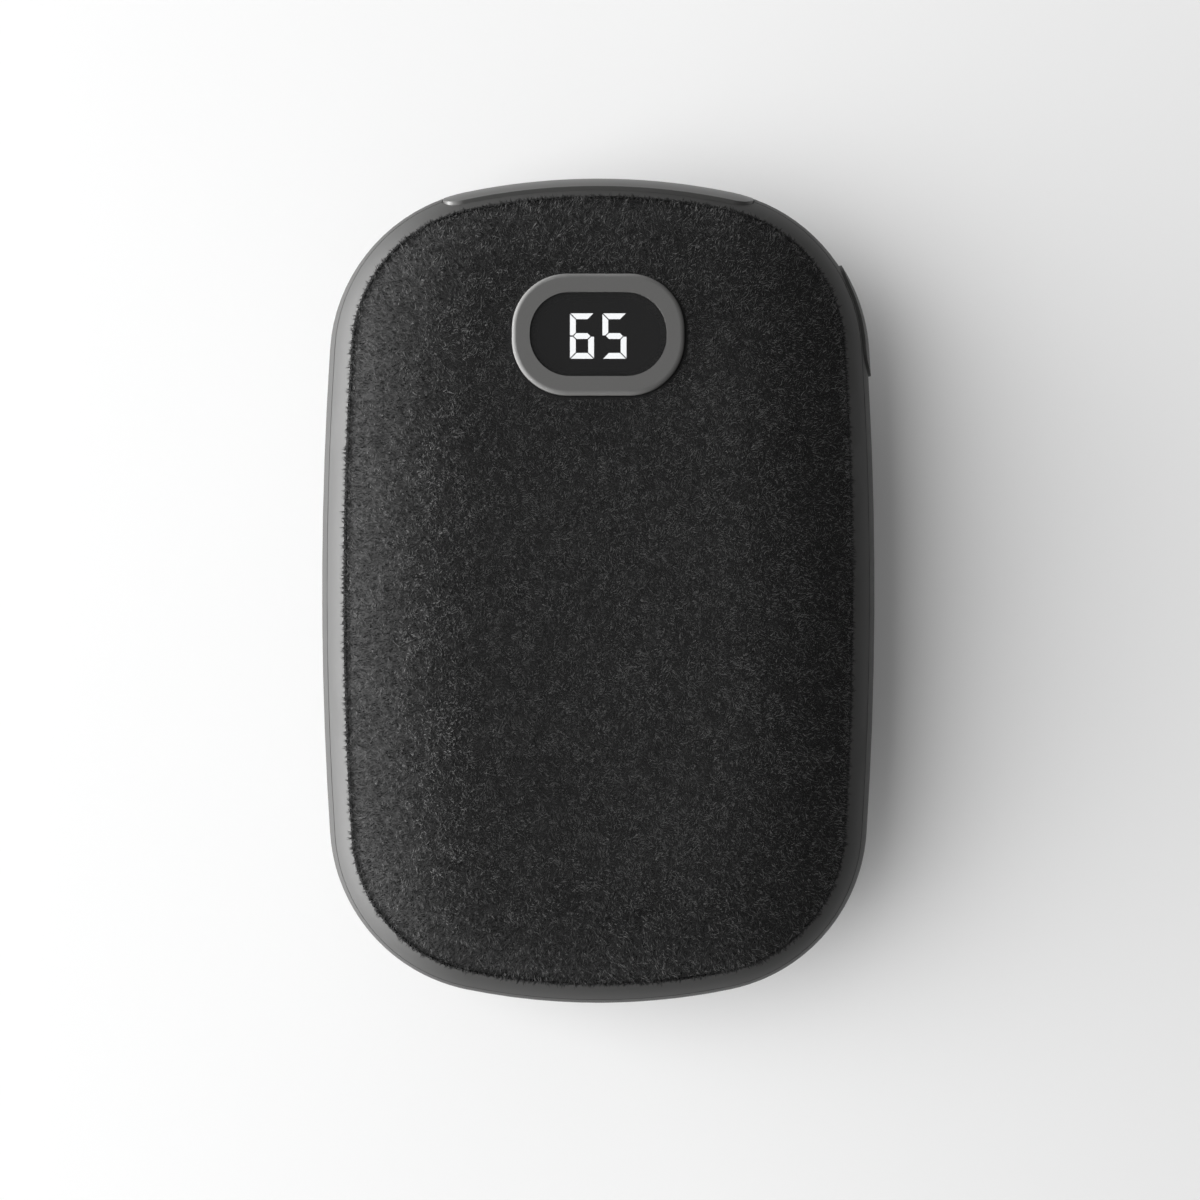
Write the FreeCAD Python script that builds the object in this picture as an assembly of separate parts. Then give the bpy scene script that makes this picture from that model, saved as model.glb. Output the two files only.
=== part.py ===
# Rechargeable hand warmer: an oval pebble of two plastic covers with a felt panel let into each face.
# Millimetres. +Z points out of the display face, +Y to the end with the sockets, +X to the button.
# The origin lies on the flat of the rear felt, under the middle of the body.
import FreeCAD, Part
import math
import os

# Body: plan outline of tangent arcs, and a section of a side arc with a flatter crown arc above and below
BODY_LENGTH = 98.2
BODY_WIDTH = 66.0
BODY_THICKNESS = 27.0
SIDE_RADIUS = 440.0
END_RADIUS = 78.0
CORNER_RADIUS = 20.5
SIDE_ROUND = 11.0
CROWN_WIDTH = 18.0

# Felt panels and the glue film under them
FELT_THICKNESS = 0.8
GLUE_THICKNESS = 0.1
GLUE_MARGIN = 0.6
RIM_WIDTH = 3.67
FELT_GAP = 0.1

# Covers: wall under the felt, parting line, and the lip of the rear cover in the groove of the front one.
# Rises and drops are counted from the middle of the body's thickness.
WALL = 1.9
PARTING_RISE = 5.1
LIP_INSET = 2.8
LIP_THICKNESS = 1.1
LIP_HEIGHT = 0.8
LIP_GAP = 0.1
REVEAL_HEIGHT = 0.15
REVEAL_DEPTH = 0.35

# Screws that hold the covers together, and their bosses
SCREW_INSET = 8.6
SCREW_FROM_END = 22.1
SCREW_BOARD_GAP = 3.2
BOSS_DIAMETER = 5.6
SCREW_DIAMETER = 2.2
SCREW_LENGTH = 11.0
SCREW_HEAD_DIAMETER = 4.0
SCREW_HEAD_HEIGHT = 1.6
SCREW_SEAT_DROP = 6.5
SCREW_GAP = 0.05
SCREW_PASS_GAP = 0.2
SCREW_HEAD_GAP = 0.3
SCREW_TIP_GAP = 0.5
RECESS_WIDTH = 0.5
RECESS_LENGTH = 2.2
RECESS_DEPTH = 0.7

# Display: ring, window and light block
DISPLAY_FROM_END = 20.5
BEZEL_LENGTH = 19.3
BEZEL_WIDTH = 13.6
BEZEL_END_FLAT = 1.2
BEZEL_PROUD = 0.65
BEZEL_SEAT_DEPTH = 1.5
BEZEL_EDGE_ROUND = 0.5
BEZEL_GAP = 0.1
WINDOW_LENGTH = 15.3
WINDOW_WIDTH = 9.4
WINDOW_END_FLAT = 0.4
WINDOW_THICKNESS = 1.2
WINDOW_RECESS = 0.25
WINDOW_GAP = 0.05
LEDGE_WIDTH = 0.65
SKIRT_WALL = 1.4
SKIRT_DROP = 0.7
BARB_LENGTH = 4.0
BARB_REACH = 0.5
BLOCK_GAP = 0.2
BLOCK_WINDOW_GAP = 0.1
DIGIT_HEIGHT = 5.1
DIGIT_WIDTH = 2.7
DIGIT_PITCH = 3.65
SEGMENT_WIDTH = 0.65
SEGMENT_GAP = 0.08
SEGMENT_DEPTH = 0.4

# Port panel: a curved plate on a shallow seat, with a plug through the rear cover's end wall
PANEL_WIDTH = 36.4
PANEL_HEIGHT = 14.4
PANEL_CORNER = 2.6
PANEL_FULL_SHARE = 0.6
PANEL_SEAT_DEPTH = 0.45
PANEL_SEAT_GAP = 0.03
PANEL_GAP = 0.1
PANEL_REACH = 12.0
PLUG_WIDTH = 30.0
PLUG_HEIGHT = 8.4
PLUG_CORNER = 1.5
PLUG_STEP = 2.0
PLUG_BARB_HEIGHT = 4.0
PLUG_BARB_REACH = 0.6
PORT_GAP = 0.15
PORT_RECESS = 0.3

# Charging socket
USB_C_ACROSS = -8.6
USB_C_WIDTH = 8.94
USB_C_HEIGHT = 3.16
USB_C_CORNER = 1.5
USB_C_WALL = 0.25
USB_C_DEPTH = 7.6
USB_C_BASE_DEPTH = 2.6
USB_C_FOOT_DEPTH = 1.6
USB_C_TONGUE_WIDTH = 6.7
USB_C_TONGUE_HEIGHT = 0.7
USB_C_TONGUE_SETBACK = 0.8
USB_C_LEG_LENGTH = 1.5
USB_C_CONTACTS = 12
USB_C_CONTACT_PITCH = 0.5
USB_C_CONTACT_WIDTH = 0.25
USB_C_CONTACT_LENGTH = 3.2

# Output socket
USB_A_ACROSS = 6.2
USB_A_WIDTH = 13.1
USB_A_HEIGHT = 5.72
USB_A_CORNER = 0.6
USB_A_WALL = 0.3
USB_A_DEPTH = 14.0
USB_A_BASE_DEPTH = 4.5
USB_A_TONGUE_WIDTH = 11.1
USB_A_TONGUE_HEIGHT = 1.84
USB_A_TONGUE_RISE = 0.9
USB_A_TONGUE_SETBACK = 0.8
USB_A_CONTACTS = 4
USB_A_CONTACT_PITCH = 2.3
USB_A_CONTACT_WIDTH = 1.0
USB_A_CONTACT_LENGTH = 6.4
CONTACT_THICKNESS = 0.08
CONTACT_SETBACK = 0.4

# Button in the rear cover's edge, and the switch behind it. Depths run inwards from the outline.
BUTTON_ANGLE = 14.0
BUTTON_LENGTH = 13.6
BUTTON_HEIGHT = 6.4
BUTTON_CORNER = 3.1
BUTTON_RISE = 1.4
BUTTON_PROUD = 0.3
BUTTON_GAP = 0.12
BUTTON_TRAVEL = 0.35
FLANGE_WIDTH = 1.0
FLANGE_THICKNESS = 1.0
STEM_LENGTH = 4.0
STEM_HEIGHT = 2.2
STEM_REACH = 6.2
PLUNGER_LENGTH = 3.0
PLUNGER_HEIGHT = 1.6
PLUNGER_DEPTH = 2.2
PLUNGER_SHOWN = 1.0
PLUNGER_TRAVEL = 0.5
PLUNGER_GAP = 0.05
SWITCH_LENGTH = 6.2
SWITCH_HEIGHT = 4.4
SWITCH_DEPTH = 3.6
SWITCH_AXIS_DROP = 2.2
DOME_DIAMETER = 3.0
DOME_RISE = 0.5
DOME_THICKNESS = 0.1
DOME_GAP = 0.02
CHAMBER_ROOM = 0.3

# Main board, its posts and screws
BOARD_INSET = 6.0
BOARD_THICKNESS = 1.2
BOARD_BELOW_DISPLAY = 10.4
POST_DIAMETER = 5.0
POST_INSET = 13.0
POST_MARGIN = 3.8
POST_SOCKET_GAP = 0.6
POST_SWITCH_GAP = 0.5
BOARD_SCREW_DIAMETER = 2.0
BOARD_SCREW_LENGTH = 6.0
BOARD_HEAD_DIAMETER = 3.8
BOARD_HEAD_HEIGHT = 1.3

# What the board carries. A row of large parts shares out the room between the lower posts.
# Other places are shares of the board's half width, and of its length from the lower edge.
ROW_GAP_SHARES = (0.07, 0.14, 0.43)
CONTROL_CHIP_SIZE = 7.0
CONTROL_CHIP_HEIGHT = 1.2
CONTROL_CHIP_ALONG_SHARE = 0.29
CHARGE_CHIP_SIZE = 4.0
CHARGE_CHIP_HEIGHT = 0.9
CHARGE_CHIP_GAP = 1.8
CHARGE_CHIP_ALONG_SHARE = 0.5
INDUCTOR_SIZE = 7.0
INDUCTOR_HEIGHT = 4.0
INDUCTOR_CORNER = 1.5
INDUCTOR_ALONG_SHARE = 0.27
CAPACITOR_LENGTH = 1.6
CAPACITOR_WIDTH = 3.2
CAPACITOR_HEIGHT = 1.4
CAPACITOR_ACROSS_SHARES = (-0.09, 0.0, 0.33, 0.42)
CAPACITOR_ALONG_SHARE = 0.52
SOCKET_ALONG_SHARE = 0.42
SOCKET_WIDTH = 7.0
SOCKET_LENGTH = 6.0
SOCKET_HEIGHT = 4.6
SOCKET_WALL = 0.5
SOCKET_GAP = 0.1
BATTERY_PLUG_SHOWN = 2.3
BATTERY_LEAD_PITCH = 2.5

# Battery pack, heaters and foam
CELL_SIDE_GAP = 1.2
CELL_END_GAP = 15.6
CELL_BOARD_GAP = 3.7
CELL_CORNER = 3.0
CELL_EDGE_ROUND = 1.2
TAPE_THICKNESS = 0.2
TAPE_MARGIN = 4.0
TAB_WIDTH = 4.0
TAB_THICKNESS = 0.15
TAB_LENGTH = 0.5
TAB_SPACING = 18.0
PROTECTION_WIDTH = 30.0
PROTECTION_HEIGHT = 10.0
PROTECTION_THICKNESS = 0.8
FOAM_THICKNESS = 2.8
PLATE_THICKNESS = 0.6
PLATE_MARGIN = 1.0
PLATE_CORNER = 8.0
FILM_THICKNESS = 0.2
FILM_MARGIN = 1.0
FILM_TAIL = 2.5

# Leads, all held inside the case, and the sensor on the front film
BATTERY_LEAD_DIAMETER = 1.3
HEATER_LEAD_DIAMETER = 1.2
HEATER_LEAD_PITCH = 3.0
HEATER_LEAD_ACROSS = 6.0
LEAD_FILM_GAP = 0.03
LEAD_LANDING = 1.4
LEAD_BOARD_MARGIN = 2.6
LEAD_BEND_SHARE = 0.45
SENSOR_DIAMETER = 1.6
SENSOR_LENGTH = 2.4
SENSOR_LEAD_DIAMETER = 0.5
SENSOR_LEAD_PITCH = 0.9

# One overrun for all cuts
OVERRUN = 5.0

UP = FreeCAD.Vector(0, 0, 1)
ORIGIN = FreeCAD.Vector(0, 0, 0)

half_length = BODY_LENGTH / 2
half_width = BODY_WIDTH / 2
middle = BODY_THICKNESS / 2

# Layers counted inwards from the outer surface
felt_bed = FELT_THICKNESS + GLUE_THICKNESS
cavity = felt_bed + WALL
plate_layer = cavity + PLATE_THICKNESS
film_layer = plate_layer + FILM_THICKNESS
stack_low = film_layer + FOAM_THICKNESS
stack_high = BODY_THICKNESS - stack_low

# Places along the body
display_y = half_length - DISPLAY_FROM_END
board_low_y = display_y - BOARD_BELOW_DISPLAY
cell_high_y = board_low_y - CELL_BOARD_GAP
cell_low_y = CELL_END_GAP - half_length
screw_x = half_width - SCREW_INSET
cell_half_width = screw_x - BOSS_DIAMETER / 2 - CELL_SIDE_GAP

# Heights of the parting line, the screws, the button, the board and the display
parting_height = middle + PARTING_RISE
screw_seat = middle - SCREW_SEAT_DROP
button_height = middle + BUTTON_RISE
board_low = middle + USB_A_HEIGHT / 2
board_high = board_low + BOARD_THICKNESS
bezel_low = BODY_THICKNESS - BEZEL_SEAT_DEPTH
bezel_high = BODY_THICKNESS + BEZEL_PROUD
bezel_corner = (BEZEL_WIDTH - BEZEL_END_FLAT) / 2
window_corner = (WINDOW_WIDTH - WINDOW_END_FLAT) / 2
window_high = bezel_high - WINDOW_RECESS
window_low = window_high - WINDOW_THICKNESS

nodes = {}


# Plan outline

def corner_centre():
    """Centre of the corner arc that is tangent inside both the end arc and the side arc."""
    end_y = half_length - END_RADIUS
    side_x = half_width - SIDE_RADIUS
    from_end = END_RADIUS - CORNER_RADIUS
    from_side = SIDE_RADIUS - CORNER_RADIUS
    apart = math.hypot(side_x, end_y)
    along = (from_end ** 2 - from_side ** 2 + apart ** 2) / (2 * apart)
    across = math.sqrt(from_end ** 2 - along ** 2)
    step_x = side_x / apart
    step_y = -end_y / apart
    first = (along * step_x - across * step_y, end_y + along * step_y + across * step_x)
    second = (along * step_x + across * step_y, end_y + along * step_y - across * step_x)
    return max(first, second)


corner_x, corner_y = corner_centre()
side_turn = math.atan2(corner_y, corner_x + SIDE_RADIUS - half_width)
end_turn = math.atan2(corner_y + END_RADIUS - half_length, corner_x)


def plan_arcs():
    """The outline's eight arcs, anticlockwise from the right side: centre x, centre y, radius, from, to."""
    side_x = half_width - SIDE_RADIUS
    end_y = half_length - END_RADIUS
    half_turn = math.pi
    full_turn = 2 * math.pi
    return [
        (side_x, 0, SIDE_RADIUS, -side_turn, side_turn),
        (corner_x, corner_y, CORNER_RADIUS, side_turn, end_turn),
        (0, end_y, END_RADIUS, end_turn, half_turn - end_turn),
        (-corner_x, corner_y, CORNER_RADIUS, half_turn - end_turn, half_turn - side_turn),
        (-side_x, 0, SIDE_RADIUS, half_turn - side_turn, half_turn + side_turn),
        (-corner_x, -corner_y, CORNER_RADIUS, half_turn + side_turn, half_turn + end_turn),
        (0, -end_y, END_RADIUS, half_turn + end_turn, full_turn - end_turn),
        (corner_x, -corner_y, CORNER_RADIUS, full_turn - end_turn, full_turn - side_turn),
    ]


def end_arc_y(across, inset):
    """How far along the body the end arc, drawn in by inset, lies at a place across it."""
    return half_length - END_RADIUS + math.sqrt((END_RADIUS - inset) ** 2 - across ** 2)


def oval_face(inset, height):
    """Flat face inside the outline, drawn in by inset."""
    edges = []
    for x, y, radius, start, end in plan_arcs():
        points = []
        for turn in (start, (start + end) / 2, end):
            reach = radius - inset
            points.append(FreeCAD.Vector(x + reach * math.cos(turn), y + reach * math.sin(turn), height))
        edges.append(Part.Arc(*points).toShape())
    return Part.Face(Part.Wire(edges))


def oval_prism(inset, low, high):
    """Upright solid with the outline drawn in by inset."""
    return oval_face(inset, low).extrude(UP * (high - low))


# Crowned body form

def section_wire(x, y, radius, turn, inset, side_round):
    """Half section of the body across one outline arc: crown arc, side arc, crown arc."""
    crown_round = (CROWN_WIDTH - side_round) ** 2 + middle ** 2 - side_round ** 2
    crown_round = crown_round / (2 * (middle - side_round))
    change = math.atan2(crown_round - middle, CROWN_WIDTH - side_round)
    quarter = math.pi / 2

    def on_arc(centre_inset, centre_height, arc_radius, rise):
        reach = radius - centre_inset + arc_radius * math.cos(rise)
        height = centre_height + arc_radius * math.sin(rise)
        return FreeCAD.Vector(x + reach * math.cos(turn), y + reach * math.sin(turn), height)

    arcs = [
        (CROWN_WIDTH, BODY_THICKNESS - crown_round, crown_round - inset, quarter, change),
        (side_round, middle, side_round - inset, change, -change),
        (CROWN_WIDTH, crown_round, crown_round - inset, -change, -quarter),
    ]
    edges = []
    for centre_inset, centre_height, arc_radius, start, end in arcs:
        points = []
        for rise in (start, (start + end) / 2, end):
            points.append(on_arc(centre_inset, centre_height, arc_radius, rise))
        edges.append(Part.Arc(*points).toShape())
    return Part.Wire(edges)


def pebble(inset, side_round=SIDE_ROUND):
    """The whole crowned form, drawn in evenly by inset."""
    faces = [oval_face(CROWN_WIDTH, inset), oval_face(CROWN_WIDTH, BODY_THICKNESS - inset)]
    for x, y, radius, start, end in plan_arcs():
        section = section_wire(x, y, radius, start, inset, side_round)
        band = section.revolve(FreeCAD.Vector(x, y, 0), UP, math.degrees(end - start))
        faces.extend(band.Faces)
    shell = Part.makeShell(faces)
    shell.sewShape()
    return Part.makeSolid(shell)


def layer(outer_inset, inner_inset):
    """Skin of the crowned form between two insets."""
    return pebble(outer_inset).cut(pebble(inner_inset))


# Plain solids

def block(low_x, high_x, low_y, high_y, low_z, high_z):
    """Box between two corners."""
    corner = FreeCAD.Vector(low_x, low_y, low_z)
    return Part.makeBox(high_x - low_x, high_y - low_y, high_z - low_z, corner)


def centred_block(x, y, length, width, low, high):
    """Box centred on a place in plan."""
    return block(x - length / 2, x + length / 2, y - width / 2, y + width / 2, low, high)


def rod(x, y, diameter, low, high):
    """Upright cylinder."""
    return Part.makeCylinder(diameter / 2, high - low, FreeCAD.Vector(x, y, low), UP)


def rounded_prism(x, y, length, width, corner, low, high):
    """Upright solid with a rounded rectangle for its plan."""
    solid = centred_block(x, y, length, width, low, high)
    upright = [edge for edge in solid.Edges if edge.BoundBox.ZLength > (high - low) / 2]
    return solid.makeFillet(corner, upright)


def rounded_plug(x, z, width, height, corner, near, far):
    """Solid along Y with an upright rounded rectangle for its section."""
    solid = block(x - width / 2, x + width / 2, near, far, z - height / 2, z + height / 2)
    along = [edge for edge in solid.Edges if edge.BoundBox.YLength > (far - near) / 2]
    return solid.makeFillet(corner, along)


def lead(points, diameter):
    """Round lead along straight runs that tangent arcs join."""
    edges = []
    start = points[0]
    for before, corner, after in zip(points, points[1:], points[2:]):
        back = before - corner
        ahead = after - corner
        trim = LEAD_BEND_SHARE * min(back.Length, ahead.Length)
        arc_start = corner + back.normalize() * trim
        arc_end = corner + ahead.normalize() * trim
        half_turn = (math.pi - back.getAngle(ahead)) / 2
        bend = trim / math.tan(half_turn)
        inwards = (back + ahead).normalize()
        centre = corner + inwards * (bend / math.cos(half_turn))
        edges.append(Part.LineSegment(start, arc_start).toShape())
        edges.append(Part.Arc(arc_start, centre - inwards * bend, arc_end).toShape())
        start = arc_end
    edges.append(Part.LineSegment(start, points[-1]).toShape())
    section = Part.Wire(Part.makeCircle(diameter / 2, points[0], points[1] - points[0]))
    return Part.Wire(edges).makePipeShell([section], True, False)


def screw(x, y, seat, direction, diameter, length, head_diameter, head_height):
    """Cross-head screw. The head's under face is at seat, and the thread runs up or down from it."""
    tip = seat + direction * length
    top = seat - direction * head_height
    floor = top + direction * RECESS_DEPTH
    solid = rod(x, y, head_diameter, min(seat, top), max(seat, top))
    solid = solid.fuse(rod(x, y, diameter, min(seat, tip), max(seat, tip)))
    for cross_x, cross_y in ((RECESS_LENGTH, RECESS_WIDTH), (RECESS_WIDTH, RECESS_LENGTH)):
        solid = solid.cut(centred_block(x, y, cross_x, cross_y, min(top, floor), max(top, floor)))
    return solid.removeSplitter()


# Felt panels and glue films

def felt_layer(outer_inset, inner_inset, edge_gap):
    """Skin within the felt's outline, on both faces of the body."""
    return layer(outer_inset, inner_inset).common(oval_prism(RIM_WIDTH + edge_gap, 0, BODY_THICKNESS))


def front_half(shape):
    return shape.common(oval_prism(-OVERRUN, middle, bezel_high + OVERRUN))


def rear_half(shape):
    return shape.common(oval_prism(-OVERRUN, -OVERRUN, middle))


def display_cut(margin, low):
    """Upright cut with the ring's outline and a margin all round."""
    length = BEZEL_LENGTH + 2 * margin
    width = BEZEL_WIDTH + 2 * margin
    return rounded_prism(0, display_y, length, width, bezel_corner + margin, low, bezel_high + OVERRUN)


felt = felt_layer(0, FELT_THICKNESS, FELT_GAP)
glue_gap = FELT_GAP + GLUE_MARGIN
glue = felt_layer(FELT_THICKNESS, felt_bed, glue_gap)
nodes["front_felt"] = front_half(felt).cut(display_cut(FELT_GAP, middle))
nodes["front_felt_glue"] = front_half(glue).cut(display_cut(glue_gap, middle))
nodes["rear_felt"] = rear_half(felt)
nodes["rear_felt_glue"] = rear_half(glue)


# Covers

screw_places = []
for side in (-1, 1):
    screw_places.append((side * screw_x, board_low_y - SCREW_BOARD_GAP))
    screw_places.append((side * screw_x, SCREW_FROM_END - half_length))

# Board posts: a lower pair, and an upper pair between the output socket and the switch
button_turn = math.radians(BUTTON_ANGLE)
switch_face = STEM_REACH + PLUNGER_SHOWN
switch_high_y = corner_y + (CORNER_RADIUS - switch_face) * math.sin(button_turn)
switch_high_y = switch_high_y + SWITCH_LENGTH / 2 * math.cos(button_turn)
lower_post_x = half_width - POST_INSET
upper_post_x = USB_A_ACROSS + USB_A_WIDTH / 2 + POST_SOCKET_GAP + POST_DIAMETER / 2
upper_post_y = switch_high_y + POST_SWITCH_GAP + POST_DIAMETER / 2
post_places = []
for side in (-1, 1):
    post_places.append((side * lower_post_x, board_low_y + POST_MARGIN))
    post_places.append((side * upper_post_x, upper_post_y))


def at_button(shape):
    """Moves a shape made about the Y axis, with the outline at Y = 0, to the button's place."""
    moved = shape.copy()
    moved.rotate(ORIGIN, UP, BUTTON_ANGLE - math.degrees(math.pi / 2))
    x = corner_x + CORNER_RADIUS * math.cos(button_turn)
    y = corner_y + CORNER_RADIUS * math.sin(button_turn)
    moved.translate(FreeCAD.Vector(x, y, 0))
    return moved


def button_prism(margin):
    """The button's outline with a margin all round, from inside the case to outside it."""
    length = BUTTON_LENGTH + 2 * margin
    height = BUTTON_HEIGHT + 2 * margin
    corner = BUTTON_CORNER + margin
    return at_button(rounded_plug(0, button_height, length, height, corner, -STEM_REACH, OVERRUN))


def panel_prism(width, height, corner):
    """Outline at the port end, from inside the case to outside it."""
    near = half_length - PANEL_REACH
    return rounded_plug(0, middle, width, height, corner, near, half_length + OVERRUN)


def lip_ring(gap):
    """Ring of the rear cover's lip, or of the groove for it."""
    top = parting_height + LIP_HEIGHT + gap
    outer = oval_prism(LIP_INSET - gap, parting_height, top)
    return outer.cut(oval_prism(LIP_INSET + LIP_THICKNESS + gap, parting_height, top))


def bosses(places, diameter, low, high):
    """Bosses that start inside the wall and stay inside the body."""
    within = pebble((felt_bed + cavity) / 2)
    return [rod(x, y, diameter, low, high).common(within) for x, y in places]


case = pebble(0).cut(felt_layer(0, felt_bed, 0)).cut(pebble(cavity))
panel_seat = panel_prism(PANEL_WIDTH + 2 * PANEL_GAP, PANEL_HEIGHT + 2 * PANEL_GAP, PANEL_CORNER + PANEL_GAP)
case = case.cut(panel_seat.cut(pebble(PANEL_SEAT_DEPTH)))
thread_top = screw_seat + SCREW_LENGTH + SCREW_TIP_GAP

front = case.common(oval_prism(-OVERRUN, parting_height, BODY_THICKNESS + OVERRUN))
front = front.fuse(bosses(screw_places, BOSS_DIAMETER, middle, BODY_THICKNESS))
for x, y in screw_places:
    front = front.cut(rod(x, y, SCREW_DIAMETER + 2 * SCREW_GAP, middle - OVERRUN, thread_top))
front = front.cut(lip_ring(LIP_GAP))
parting_inset = SIDE_ROUND - math.sqrt(SIDE_ROUND ** 2 - (parting_height - middle) ** 2)
reveal_top = parting_height + REVEAL_HEIGHT
reveal = oval_prism(-OVERRUN, parting_height, reveal_top)
front = front.cut(reveal.cut(oval_prism(parting_inset + REVEAL_DEPTH, parting_height, reveal_top)))
skirt_length = WINDOW_LENGTH - 2 * LEDGE_WIDTH + 2 * SKIRT_WALL
skirt_width = WINDOW_WIDTH - 2 * LEDGE_WIDTH + 2 * SKIRT_WALL
skirt_corner = window_corner - LEDGE_WIDTH + SKIRT_WALL
hole_length = skirt_length + 2 * BEZEL_GAP
hole_width = skirt_width + 2 * BEZEL_GAP
hole_corner = skirt_corner + BEZEL_GAP
front = front.cut(display_cut(BEZEL_GAP, bezel_low))
front = front.cut(rounded_prism(0, display_y, hole_length, hole_width, hole_corner, middle, bezel_high))
nodes["front_cover"] = front.removeSplitter()

rear = case.common(oval_prism(-OVERRUN, -OVERRUN, parting_height))
rear = rear.fuse(lip_ring(0))
rear = rear.fuse(bosses(screw_places, BOSS_DIAMETER, 0, middle) + bosses(post_places, POST_DIAMETER, 0, board_low))
for x, y in screw_places:
    rear = rear.cut(rod(x, y, SCREW_DIAMETER + 2 * SCREW_PASS_GAP, -OVERRUN, middle + OVERRUN))
    rear = rear.cut(rod(x, y, SCREW_HEAD_DIAMETER + 2 * SCREW_HEAD_GAP, -OVERRUN, screw_seat))
board_thread_low = board_high - BOARD_SCREW_LENGTH - SCREW_TIP_GAP
for x, y in post_places:
    rear = rear.cut(rod(x, y, BOARD_SCREW_DIAMETER + 2 * SCREW_GAP, board_thread_low, board_low + OVERRUN))
plug_hole = panel_prism(PLUG_WIDTH + 2 * PANEL_GAP, PLUG_HEIGHT + 2 * PANEL_GAP, PLUG_CORNER + PANEL_GAP)
rear = rear.cut(plug_hole)
rear = rear.cut(button_prism(BUTTON_GAP))
nodes["rear_cover"] = rear.removeSplitter()

case_screws = []
for x, y in screw_places:
    sizes = (SCREW_DIAMETER, SCREW_LENGTH, SCREW_HEAD_DIAMETER, SCREW_HEAD_HEIGHT)
    case_screws.append(screw(x, y, screw_seat, 1, *sizes))
nodes["case_screws"] = Part.makeCompound(case_screws)


# Display ring with its snap skirt, window, light block and segments

opening_length = WINDOW_LENGTH - 2 * LEDGE_WIDTH
opening_width = WINDOW_WIDTH - 2 * LEDGE_WIDTH
opening_corner = window_corner - LEDGE_WIDTH
skirt_low = BODY_THICKNESS - cavity - SKIRT_DROP

bezel = rounded_prism(0, display_y, BEZEL_LENGTH, BEZEL_WIDTH, bezel_corner, bezel_low, bezel_high)
top_edges = [edge for edge in bezel.Edges if edge.BoundBox.ZMin > (bezel_low + bezel_high) / 2]
bezel = bezel.makeFillet(BEZEL_EDGE_ROUND, top_edges)
bezel = bezel.fuse(rounded_prism(0, display_y, skirt_length, skirt_width, skirt_corner, skirt_low, bezel_low))
barb_high = BODY_THICKNESS - cavity - BEZEL_GAP
for side in (-1, 1):
    barb_x = side * (skirt_length / 2)
    barb = centred_block(barb_x, display_y, 2 * BARB_REACH, BARB_LENGTH, skirt_low, barb_high)
    bezel = bezel.fuse(barb)
bezel = bezel.cut(rounded_prism(0, display_y, opening_length, opening_width, opening_corner, middle, bezel_high))
bezel = bezel.cut(
    rounded_prism(0, display_y, WINDOW_LENGTH, WINDOW_WIDTH, window_corner, window_low, bezel_high + OVERRUN)
)
nodes["display_bezel"] = bezel.removeSplitter()

pane_length = WINDOW_LENGTH - 2 * WINDOW_GAP
pane_width = WINDOW_WIDTH - 2 * WINDOW_GAP
pane_corner = window_corner - WINDOW_GAP
nodes["display_window"] = rounded_prism(
    0, display_y, pane_length, pane_width, pane_corner, window_low, window_high
)

block_high = window_low - BLOCK_WINDOW_GAP


def segment(outline, x, y):
    """One segment of a digit: a flat polygon let into the top of the light block."""
    low = block_high - SEGMENT_DEPTH
    points = [FreeCAD.Vector(x + across, y + along, low) for across, along in outline]
    return Part.Face(Part.makePolygon(points + points[:1])).extrude(UP * SEGMENT_DEPTH)


def digit_outlines():
    """Outlines of the seven segments about the digit's centre, by their usual letters."""
    side = DIGIT_WIDTH / 2
    top = DIGIT_HEIGHT / 2
    bar = SEGMENT_WIDTH
    gap = SEGMENT_GAP
    head = [
        (gap - side, top),
        (side - gap, top),
        (side - bar - gap, top - bar),
        (bar + gap - side, top - bar),
    ]
    upper_left = [
        (-side, top - gap),
        (-side, gap),
        (bar / 2 - side, gap),
        (bar - side, bar / 2 + gap),
        (bar - side, top - bar - gap),
    ]
    bar_end = side - bar / 2 - gap
    bar_shoulder = side - bar - gap
    centre_bar = [
        (-bar_end, 0),
        (-bar_shoulder, bar / 2),
        (bar_shoulder, bar / 2),
        (bar_end, 0),
        (bar_shoulder, -bar / 2),
        (-bar_shoulder, -bar / 2),
    ]

    def turned_over(outline, across, along):
        return [(across * x, along * y) for x, y in outline]

    return {
        "a": head,
        "b": turned_over(upper_left, -1, 1),
        "c": turned_over(upper_left, -1, -1),
        "d": turned_over(head, 1, -1),
        "e": turned_over(upper_left, 1, -1),
        "f": upper_left,
        "g": centre_bar,
    }


lit_segments = []
dark_segments = []
for lit, side in (("acdefg", -1), ("acdfg", 1)):
    for letter, outline in digit_outlines().items():
        piece = segment(outline, side * DIGIT_PITCH / 2, display_y)
        if letter in lit:
            lit_segments.append(piece)
        else:
            dark_segments.append(piece)
nodes["lit_segments"] = Part.makeCompound(lit_segments)
nodes["dark_segments"] = Part.makeCompound(dark_segments)

block_length = opening_length - 2 * BLOCK_GAP
block_width = opening_width - 2 * BLOCK_GAP
block_corner = opening_corner - BLOCK_GAP
light_block = rounded_prism(0, display_y, block_length, block_width, block_corner, board_high, block_high)
nodes["display_block"] = light_block.cut(lit_segments + dark_segments)


# Port panel: fuller in section than the case, so that its upper and lower edges stand proud

def usb_c_prism(margin, near, far):
    """Outline of the charging socket with a margin all round."""
    width = USB_C_WIDTH + 2 * margin
    height = USB_C_HEIGHT + 2 * margin
    return rounded_plug(USB_C_ACROSS, middle, width, height, USB_C_CORNER + margin, near, far)


def usb_a_prism(margin, near, far):
    """Outline of the output socket with a margin all round."""
    width = USB_A_WIDTH + 2 * margin
    height = USB_A_HEIGHT + 2 * margin
    return rounded_plug(USB_A_ACROSS, middle, width, height, USB_A_CORNER + margin, near, far)


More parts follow.
